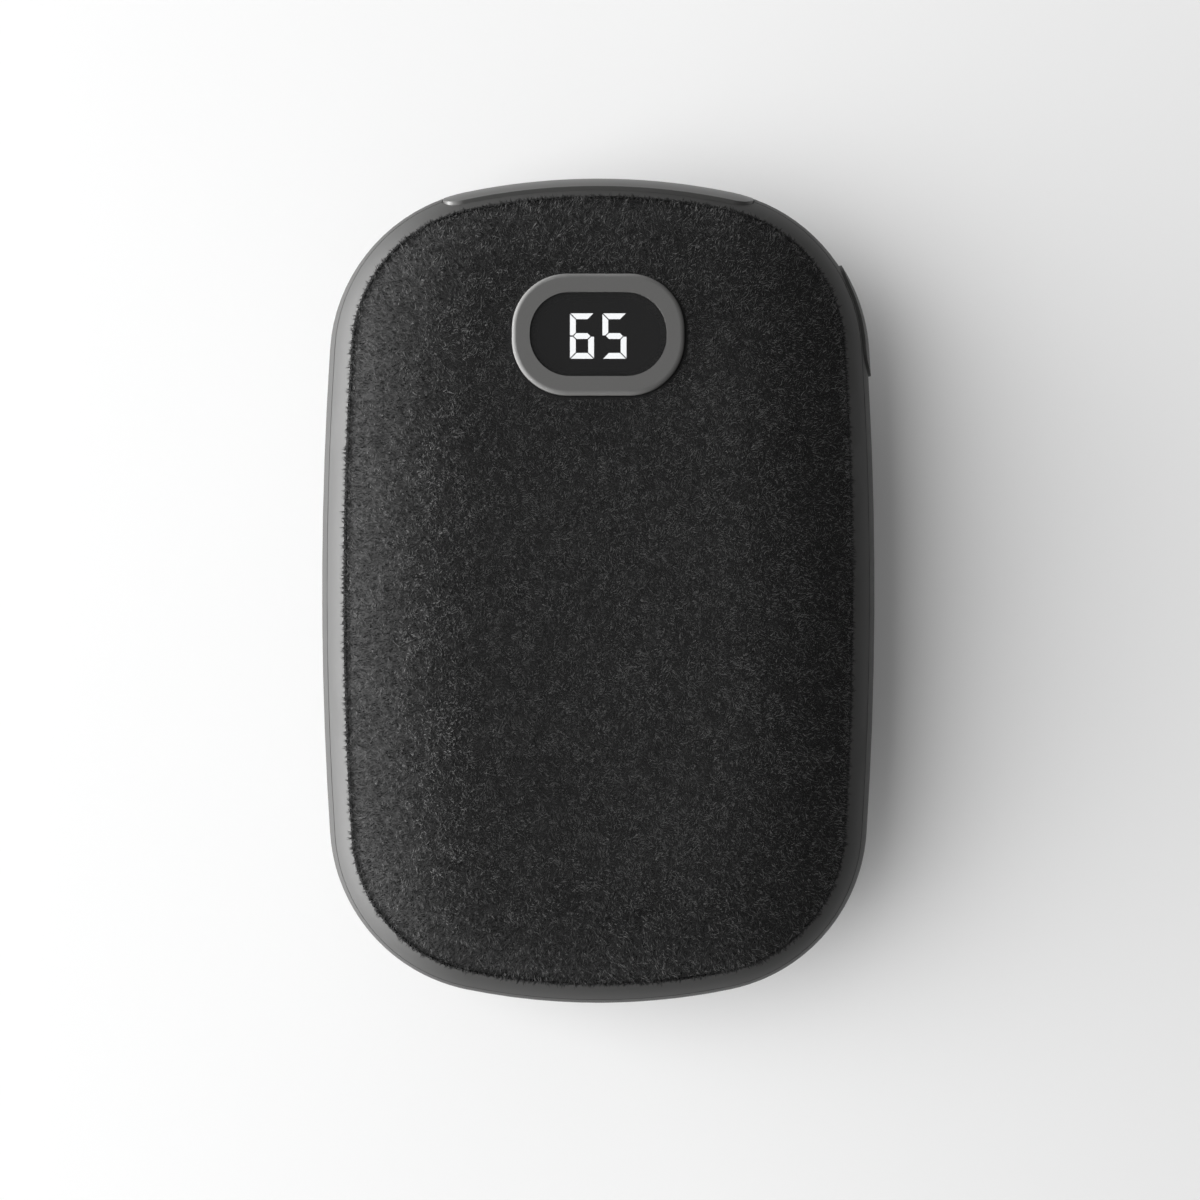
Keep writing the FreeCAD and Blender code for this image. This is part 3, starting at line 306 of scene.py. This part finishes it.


# Switch and side button: a side-press switch on the board with a pale plunger over a steel dome, which
# flattens under it when pressed, though this copy of the dome is not bent, and a long satin button a
# little proud of the edge that presses on it.

button_turn = math.radians(14.0)
press_way = Vector((-math.cos(button_turn), -math.sin(button_turn), 0.0))
dome_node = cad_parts["switch_dome"]
dome_spring = bpy.data.objects.new("switch_dome_spring", dome_node.data.copy())
dome_spring.matrix_world = dome_node.matrix_world
bpy.context.scene.collection.objects.link(dome_spring)
dome_spring.data.materials.clear()
dome_spring.data.materials.append(plated_steel)
dome_foot = max((dome_node.matrix_world @ v.co for v in dome_node.data.vertices), key=press_way.dot)
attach(dome_spring, "casing")
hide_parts("switch_dome")
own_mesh(dome_spring)

dress(satin_plastic("switch_plastic", (0.014, 0.014, 0.0145), 0.45), "switch_housing")
dress(satin_plastic("plunger_plastic", (0.62, 0.60, 0.54), 0.4), "switch_plunger")
dress(satin_plastic("button_plastic", (0.012, 0.0118, 0.0112), 0.55), "side_button")


# Port panel: a separate curved plate in the end of the casing, of the same plastic with a smoother satin
# finish, painted lighter than the case as painted light on its steep face. It snaps into the rear cover,
# and the sockets open through it.

# its colour is about three times the case's, as painted light on its steep face
dress(satin_plastic("panel_plastic_painted_light", (0.034, 0.0337, 0.0325), 0.44), "port_panel")


# Front cover: the shallow half of the casing, with the bare rim around the felt. A fine groove
# parts it from the rear cover, and four screws from the rear hold the two together.

dress(case_plastic, "front_cover")


# Display: a satin ring that snaps into the front cover, a smoked window in it, and a black light
# block with white segments that shine through the window.

ring_plastic, place = new_finish("ring_plastic")
texture = place.speckle(5.5, 2.0)
place.surface({
    "Base Color": texture.shade((0.112, 0.111, 0.109), (0.128, 0.127, 0.125)),
    "Roughness": 0.7 + 0.05 * place.speckle(0.09, 3.0),
    "Specular IOR Level": 0.25,
    "Normal": texture.relief(0.0000016),
})
dress(ring_plastic, "display_bezel")

smoked_window, place = new_finish("smoked_window")
smudge = place.speckle(0.22, 3.0)
place.surface({
    "Base Color": smudge.shade((0.022, 0.022, 0.0223), (0.024, 0.024, 0.0243)),
    "Roughness": 0.05 + 0.05 * smudge,
    "Specular IOR Level": 0.25,
    "Alpha": 0.68,
})
dress(smoked_window, "display_window")

dress(satin_plastic("display_plastic", (0.006, 0.006, 0.006), 0.6), "display_block")

glowing_resin, place = new_finish("glowing_resin")
glow = place.speckle(1.6, 2.0)
place.surface({
    "Base Color": (0.8, 0.8, 0.8, 1.0),
    "Roughness": 0.35,
    "Emission Color": glow.shade((0.92, 0.94, 0.97), (1.0, 1.0, 1.0)),
    "Emission Strength": 9.2,
})
dress(glowing_resin, "lit_segments")
dress(satin_plastic("unlit_resin", (0.009, 0.009, 0.009), 0.5), "dark_segments")


# Felt panels: charcoal short-pile felt, cut to the oval of each face and stuck down on a film of
# glue in a shallow recess. The pile stands up to the level of the rim and strays over it.

# the casing's oval, in millimetres: half sizes, and the radii of its side, end and corner arcs
half_width, half_length = 33.0, 49.1
side_radius, end_radius, corner_radius = 440.0, 78.0, 20.5

# its section: the round of the side runs into a flatter crown at crown_start from the outline
thickness, crown_width, side_round = 27.0, 18.0, 11.0
crown_round = (crown_width - side_round) ** 2 + (thickness / 2) ** 2 - side_round ** 2
crown_round /= thickness - 2 * side_round
crown_start = side_round * (1.0 - (crown_width - side_round) / (crown_round - side_round))

# the felt's edge from the outline, its hole for the ring, and how deep the sheet lies under the nap
felt_edge = 3.77
ring_x, ring_y, ring_corner = 9.75, 6.9, 6.3
display_y = 28.6
nap_depth = 0.38


def corner_centre():
    """Centre of the corner arc, which touches the side arc and the end arc from inside."""
    side_centre = np.array([half_width - side_radius, 0.0])
    end_centre = np.array([0.0, half_length - end_radius])
    from_side, from_end = side_radius - corner_radius, end_radius - corner_radius
    apart = np.linalg.norm(end_centre - side_centre)
    along = (end_centre - side_centre) / apart
    reach = (from_side ** 2 - from_end ** 2 + apart ** 2) / (2 * apart)
    aside = math.sqrt(from_side ** 2 - reach ** 2)
    return side_centre + reach * along + aside * np.array([-along[1], along[0]])


corner_x, corner_y = corner_centre()
side_turn = math.atan2(corner_y, corner_x + side_radius - half_width)
end_turn = math.atan2(corner_y + end_radius - half_length, corner_x)


def inset_of(x, y):
    """How far inside the casing's outline a place in plan lies."""
    x, y = np.abs(x), np.abs(y)
    turn = np.arctan2(y - corner_y, x - corner_x)
    at_corner = (turn > side_turn) & (turn < end_turn) & (x > corner_x) & (y > corner_y)
    corner = corner_radius - np.hypot(x - corner_x, y - corner_y)
    side = side_radius - np.hypot(x - half_width + side_radius, y)
    end = end_radius - np.hypot(x, y - half_length + end_radius)
    return np.where(at_corner, corner, np.minimum(side, end))


def ring_distance(x, y):
    """How far outside the display ring's hole a place in plan lies."""
    x = np.abs(x) - (ring_x - ring_corner)
    y = np.abs(y - display_y) - (ring_y - ring_corner)
    outside = np.hypot(np.maximum(x, 0.0), np.maximum(y, 0.0))
    return outside + np.minimum(np.maximum(x, y), 0.0) - ring_corner


def crown(x, y):
    """Height of the casing's crowned face over a place in plan."""
    inset = np.clip(inset_of(x, y), 0.0, crown_width)
    flatter = thickness - crown_round + np.sqrt(crown_round ** 2 - (crown_width - inset) ** 2)
    rounder = thickness / 2 + np.sqrt(np.maximum(side_round ** 2 - (side_round - inset) ** 2, 0.0))
    return np.where(inset > crown_start, flatter, rounder)


def crown_normal(x, y):
    """Outward direction of the crowned face."""
    step = 0.02
    slope_x = (crown(x + step, y) - crown(x - step, y)) / (2 * step)
    slope_y = (crown(x, y + step) - crown(x, y - step)) / (2 * step)
    normal = np.stack([-slope_x, -slope_y, np.ones_like(slope_x)], axis=1)
    return normal / np.linalg.norm(normal, axis=1, keepdims=True)


def headings(turn):
    """Directions in plan, from their angles."""
    return np.stack([np.cos(turn), np.sin(turn)], axis=1)


def felt_outline(inset, pitch):
    """Points along the felt's cut edge, one pitch apart."""
    arcs = [
        (half_width - side_radius, 0.0, side_radius, -side_turn, side_turn),
        (corner_x, corner_y, corner_radius, side_turn, end_turn),
        (0.0, half_length - end_radius, end_radius, end_turn, math.pi - end_turn),
        (-corner_x, corner_y, corner_radius, math.pi - end_turn, math.pi - side_turn),
        (side_radius - half_width, 0.0, side_radius, math.pi - side_turn, math.pi + side_turn),
        (-corner_x, -corner_y, corner_radius, math.pi + side_turn, math.pi + end_turn),
        (0.0, end_radius - half_length, end_radius, math.pi + end_turn, 2 * math.pi - end_turn),
        (corner_x, -corner_y, corner_radius, 2 * math.pi - end_turn, 2 * math.pi - side_turn),
    ]
    points = []
    for x, y, radius, start, end in arcs:
        count = max(2, round((radius - inset) * (end - start) / pitch))
        turn = start + (end - start) * np.arange(count) / count
        points.append(np.array([x, y]) + (radius - inset) * headings(turn))
    return np.concatenate(points)


def ring_outline(pitch):
    """Points along the felt's hole for the display ring."""
    corners = [(1, 1, 0.0), (-1, 1, 0.5 * math.pi), (-1, -1, math.pi), (1, -1, 1.5 * math.pi)]
    path = []
    for across, along, start in corners:
        turn = start + 0.5 * math.pi * np.arange(25) / 24
        middle = np.array([across * (ring_x - ring_corner), display_y + along * (ring_y - ring_corner)])
        path.append(middle + ring_corner * headings(turn))
    path = np.concatenate(path)
    path = np.concatenate([path, path[:1]])
    reach = np.concatenate([[0.0], np.cumsum(np.linalg.norm(np.diff(path, axis=0), axis=1))])
    at = np.linspace(0.0, reach[-1], round(reach[-1] / pitch), endpoint=False)
    return np.stack([np.interp(at, reach, path[:, 0]), np.interp(at, reach, path[:, 1])], axis=1)


# staggered rows stand this share of their pitch apart
row_share = 0.866


def lattice(pitch, chance):
    """Jittered places over the whole face, in staggered rows."""
    rows = int(2 * half_length / (pitch * row_share)) + 1
    columns = int(2 * half_width / pitch) + 2
    row, column = np.meshgrid(np.arange(rows), np.arange(columns), indexing="ij")
    x = (column + 0.5 * (row % 2)) * pitch - half_width
    y = row * pitch * row_share - half_length
    places = np.stack([x.ravel(), y.ravel()], axis=1)
    jitter = 0.3 * pitch
    return places + chance.uniform(-jitter, jitter, places.shape)


def new_piece(name, points, faces):
    """A mesh object from points in millimetres."""
    mesh = bpy.data.meshes.new(name)
    mesh.from_pydata((points * 0.001).tolist(), [], faces)
    mesh.update()
    piece = bpy.data.objects.new(name, mesh)
    bpy.context.scene.collection.objects.link(piece)
    return piece


def turned_over(points, rear):
    """Puts a face's points on the rear of the casing, where nothing may pass below the table."""
    above_table = 0.01
    if rear:
        points = np.stack([points[:, 0], points[:, 1], thickness - points[:, 2]], axis=1)
        points[:, 2] = np.maximum(points[:, 2], above_table)
    return points


def felt_sheet(name, rear, chance):
    """The felt's own sheet, rolled over at its cut edge, with the nap's clumps in its surface."""
    pitch = 0.42
    margin, slack = 0.6 * pitch, 0.05
    roll_width, roll_rise, clump_height, edge_drop = 0.5, 0.15, 0.08, 0.2
    loops = [felt_outline(felt_edge, pitch)]
    if not rear:
        loops.append(ring_outline(pitch))
    places = lattice(pitch, chance)
    keep = inset_of(places[:, 0], places[:, 1]) > felt_edge + margin
    if not rear:
        keep &= ring_distance(places[:, 0], places[:, 1]) > margin
    edges = []
    count = 0
    for loop in loops:
        order = np.arange(len(loop))
        edges.extend(zip((order + count).tolist(), (np.roll(order, -1) + count).tolist()))
        count += len(loop)
    plan = np.concatenate(loops + [places[keep]])
    flat_points, _, triangles, *_ = delaunay_2d_cdt([Vector(p) for p in plan], edges, [], 0, 0.0001)
    plan = np.array([tuple(p) for p in flat_points])
    triangles = np.array(triangles)
    middle = plan[triangles].mean(axis=1)
    inside = inset_of(middle[:, 0], middle[:, 1]) > felt_edge - slack
    if not rear:
        inside &= ring_distance(middle[:, 0], middle[:, 1]) > 0.0
    triangles = triangles[inside]

    x, y = plan[:, 0], plan[:, 1]
    to_edge = inset_of(x, y) - felt_edge
    if not rear:
        to_edge = np.minimum(to_edge, ring_distance(x, y))
    roll = np.clip(1.0 - to_edge / roll_width, 0.0, 1.0) ** 2
    clump = np.array([noise.noise((2.1 * a, 2.1 * b, 3.0)) + 0.6 * noise.noise((4.3 * a, 4.3 * b, 9.0))
                      for a, b in plan])
    sunk = nap_depth - roll_rise * roll - clump_height * clump * (1.0 - roll)
    normal = crown_normal(x, y)
    points = np.stack([x, y, crown(x, y)], axis=1) - normal * sunk[:, None]
    points = turned_over(points, rear)

    faces = triangles.tolist()
    start = 0
    for loop, outer in zip(loops, (True, False)):
        for place in range(len(loop)):
            after = (place + 1) % len(loop)
            side = [place, after, len(points) + after, len(points) + place]
            faces.append([start + corner for corner in (side[::-1] if outer else side)])
        start += len(loop)
    if rear:
        faces = [face[::-1] for face in faces]
    wall = points[:start] - np.array([0.0, 0.0, -edge_drop if rear else edge_drop])
    return new_piece(name, np.concatenate([points, wall]), faces)


def felt_finish(name, low, high):
    """Charcoal wool: each fibre has its own shade, and they mottle in tufts and in brushed patches."""
    material, place = new_finish(name)
    fibre = place.node("ShaderNodeNewGeometry", out="Random Per Island")
    tuft = place.speckle(1.9, 3.0, 0.6)
    patch = place.speckle(0.12, 2.0)
    shade = 0.55 * fibre * fibre + 0.75 * tuft + 0.3 * patch - 0.3
    place.surface({
        "Base Color": shade.shade(low, high),
        "Roughness": 0.85,
        "Specular IOR Level": 0.25,
        "Sheen Weight": 0.05,
        "Sheen Roughness": 0.4,
    })
    return material


# the darker felt is painted shade: it goes on the sheet under the pile, on the fringe and on the pile
# near the cut edge
felt_painted_shade = felt_finish("felt_painted_shade", (0.010, 0.010, 0.0101), (0.024, 0.024, 0.0241))
felt_fibre = felt_finish("felt_fibre", (0.044, 0.044, 0.0442), (0.148, 0.148, 0.147))


def fibres(root, normal, lean, rise, length, width, roll):
    """Tapered fibres, one triangle each: their roots, the way they lean and how far they rise."""
    along = np.concatenate([lean, np.zeros((len(root), 1))], axis=1)
    along -= normal * (along * normal).sum(axis=1, keepdims=True)
    along += normal * rise[:, None]
    along /= np.linalg.norm(along, axis=1, keepdims=True)
    across = np.cross(normal, along)
    across /= np.linalg.norm(across, axis=1, keepdims=True)
    across = across * np.cos(roll)[:, None] + np.cross(along, across) * np.sin(roll)[:, None]
    half = across * (0.5 * width)[:, None]
    return np.stack([root + half, root - half, root + along * length[:, None]], axis=1).reshape(-1, 3)


def felt_pile(name, rear, count, chance):
    """Short fibres in leaning tufts over the sheet, and a fringe that strays out over the rim."""
    felt_area = 4700.0
    places = lattice(math.sqrt(felt_area / count / row_share), chance)
    to_edge = inset_of(places[:, 0], places[:, 1]) - felt_edge
    no_ring = np.full(len(places), half_length)
    to_ring = no_ring if rear else ring_distance(places[:, 0], places[:, 1])
    edge_gap, ring_gap = 0.03, 0.05
    keep = (to_edge > edge_gap) & (to_ring > ring_gap)
    x, y, to_edge, to_ring = places[keep, 0], places[keep, 1], to_edge[keep], to_ring[keep]
    number = len(x)
    normal = crown_normal(x, y)
    from_ring = np.stack([x, y - display_y], axis=1)
    from_ring /= np.linalg.norm(from_ring, axis=1, keepdims=True)
    ring_nap, edge_nap = 0.7, 0.8
    near_ring = np.clip(1.0 - to_ring / ring_nap, 0.0, 1.0)[:, None]
    near_edge = np.clip(1.0 - to_edge / edge_nap, 0.0, 1.0)[:, None]

    # neighbouring fibres share a tuft, and each tuft leans its own way
    tuft_size, tuft_bend = 0.7, 0.5
    tufts = (140, 200)
    first_tuft = (-40.0, -60.0)
    full_turn = 2.0 * math.pi
    bend = np.array([(noise.noise((0.9 * a, 0.9 * b, 1.0)), noise.noise((0.9 * a, 0.9 * b, 7.0)))
                     for a, b in zip(x, y)])
    tuft_x = np.floor((x + tuft_bend * bend[:, 0] - first_tuft[0]) / tuft_size).astype(int)
    tuft_y = np.floor((y + tuft_bend * bend[:, 1] - first_tuft[1]) / tuft_size).astype(int)
    tuft_turn = chance.uniform(0.0, full_turn, tufts)[tuft_x, tuft_y]
    tuft_lean = chance.uniform(0.2, 1.2, tufts)[tuft_x, tuft_y]
    tuft_rise = chance.uniform(0.3, 1.2, tufts)[tuft_x, tuft_y]
    own_lean, ring_lean = 0.6, 1.6
    lean = own_lean * headings(chance.uniform(0.0, full_turn, number))
    lean += headings(tuft_turn) * tuft_lean[:, None]
    lean += from_ring * (ring_lean * near_ring)
    root_depth, edge_rise = nap_depth + 0.03, 0.2
    points = fibres(
        root=np.stack([x, y, crown(x, y)], axis=1) - normal * (root_depth - edge_rise * near_edge),
        normal=normal,
        lean=lean,
        rise=tuft_rise + chance.uniform(0.0, 0.5, number),
        length=chance.uniform(0.35, 0.66, number),
        width=chance.uniform(0.05, 0.11, number),
        roll=chance.uniform(-1.2, 1.2, number),
    )

    # along the cut edge the fibres run together into small locks; they all get the darker felt, painted
    # shade that shows them dark against the rim
    lock_pitch, lock_fibres, lock_reach, own_stray = 0.2, 7, 0.45, 0.2
    edge = felt_outline(felt_edge, lock_pitch)
    locks = len(edge)
    lock = np.repeat(np.arange(locks), lock_fibres)
    number = len(lock)
    outwards = crown_normal(edge[:, 0], edge[:, 1])[lock, :2]
    outwards /= np.linalg.norm(outwards, axis=1, keepdims=True)
    sideways = np.stack([-outwards[:, 1], outwards[:, 0]], axis=1)
    spread = chance.uniform(-0.09, 0.09, number)
    stray = chance.uniform(-0.8, 0.8, locks)[lock] - spread / lock_reach
    edge = edge[lock] - outwards * chance.uniform(0.0, 0.15, number)[:, None]
    edge += sideways * spread[:, None]
    x, y = edge[:, 0], edge[:, 1]
    normal = crown_normal(x, y)
    root = np.stack([x, y, crown(x, y)], axis=1) - normal * chance.uniform(0.0, 0.08, number)[:, None]
    lean = outwards + sideways * stray[:, None]
    lean += own_stray * headings(chance.uniform(0.0, full_turn, number))
    fringe = fibres(
        root=root,
        normal=normal,
        lean=lean,
        rise=chance.uniform(0.05, 0.5, locks)[lock],
        length=chance.uniform(0.3, 0.8, locks)[lock] * chance.uniform(0.7, 1.15, number),
        width=chance.uniform(0.06, 0.11, number),
        roll=chance.uniform(-0.8, 0.8, number),
    )
    points = np.concatenate([points, fringe])
    faces = np.arange(len(points)).reshape(-1, 3)
    if rear:
        faces = faces[:, ::-1]
    pile = new_piece(name, turned_over(points, rear), faces.tolist())
    pile.data.materials.append(felt_fibre)
    pile.data.materials.append(felt_painted_shade)

    # towards the cut edge more of the pile's fibres get the darker felt: painted shade where the crown
    # slopes away from the light
    painted_shade_share = 0.55
    painted_shade_places = (0.3, 0.9, 4.0, 15.0)
    painted_shade_chance = np.interp(to_edge, painted_shade_places, (0.0, painted_shade_share, painted_shade_share, 0.0))
    painted_shade_fibres = chance.uniform(0.0, 1.0, len(to_edge)) < painted_shade_chance
    # every fringe fibre gets the darker felt, as painted shade
    painted_shade_fibres = np.concatenate([painted_shade_fibres, np.ones(number, dtype=bool)])
    pile.data.polygons.foreach_set("material_index", painted_shade_fibres.astype(int))
    return pile


glue_film, place = new_finish("glue_film")
stringing = place.speckle(0.8, 3.0)
place.surface({
    "Base Color": stringing.shade((0.42, 0.38, 0.26), (0.52, 0.48, 0.35)),
    "Roughness": 0.3 + 0.3 * stringing,
    "Normal": stringing.relief(0.00002),
})
dress(glue_film, "front_felt_glue", "rear_felt_glue")

for name, rear, count in (("front_felt", False, 172000), ("rear_felt", True, 120000)):
    chance = np.random.default_rng(7 + count)
    sheet = felt_sheet(name + "_sheet", rear, chance)
    pile = felt_pile(name + "_pile", rear, count, chance)
    # the sheet under the pile wears the darker felt, as painted shade under the fibres
    sheet.data.materials.append(felt_painted_shade)
    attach(sheet, "casing")
    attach(pile, "casing")
    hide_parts(name)


# Table, light and camera: a white table in a room that is brighter on the left, a low strip light
# standing close on the left, and a camera that looks straight down as in the photograph.

table_mesh = bpy.data.meshes.new("table")
table_left, table_reach = -0.9, 2.0
table_mesh.from_pydata([(table_left, -table_reach, 0), (table_reach, -table_reach, 0),
                        (table_reach, table_reach, 0), (table_left, table_reach, 0)], [], [(0, 1, 2, 3)])
table = bpy.data.objects.new("table", table_mesh)
bpy.context.scene.collection.objects.link(table)
table_paint, place = new_finish("table_paint")
place.surface({
    "Base Color": place.speckle(0.01).shade((0.90, 0.90, 0.90), (0.92, 0.92, 0.92)),
    "Roughness": 0.8,
    "Specular IOR Level": 0.1,
})
table_mesh.materials.append(table_paint)


def soft_light(name, place, turn, height, width, watts):
    """A rectangular soft light."""
    lamp = bpy.data.lights.new(name, "AREA")
    lamp.shape = "RECTANGLE"
    lamp.size = height
    lamp.size_y = width
    lamp.energy = watts
    light = bpy.data.objects.new(name, lamp)
    light.location = place
    light.rotation_euler = turn
    bpy.context.scene.collection.objects.link(light)


soft_light("strip_light", place=(table_left, 0.0, 0.042), turn=(0.0, -math.radians(90.0), 0.0),
           height=0.08, width=2.2, watts=60.0)
soft_light("left_light", place=(-0.80, 0.0, 0.88), turn=(0.0, -math.radians(42.0), 0.0),
           height=1.2, width=1.2, watts=12.8)

world = bpy.data.worlds.new("studio")
bpy.context.scene.world = world
world.use_nodes = True
world.node_tree.nodes.clear()
room = Finish(world.node_tree).node("ShaderNodeTexCoord", out="Generated")
across_room = room.node("ShaderNodeSeparateXYZ", {}, {0: room})
sky = room.node("ShaderNodeBackground", {},
                {"Color": (1.0, 1.0, 1.0, 1.0), "Strength": 0.31 - 0.17 * across_room})
room.node("ShaderNodeOutputWorld", {}, {"Surface": sky})

lens = bpy.data.cameras.new("camera")
lens.lens = 50.0
lens.sensor_width = 36.0
lens.clip_start = 0.01
camera = bpy.data.objects.new("camera", lens)
camera.location = (0.0002, -0.00108, 0.2135)
bpy.context.scene.collection.objects.link(camera)
bpy.context.scene.camera = camera
bpy.context.scene.view_settings.view_transform = "Standard"
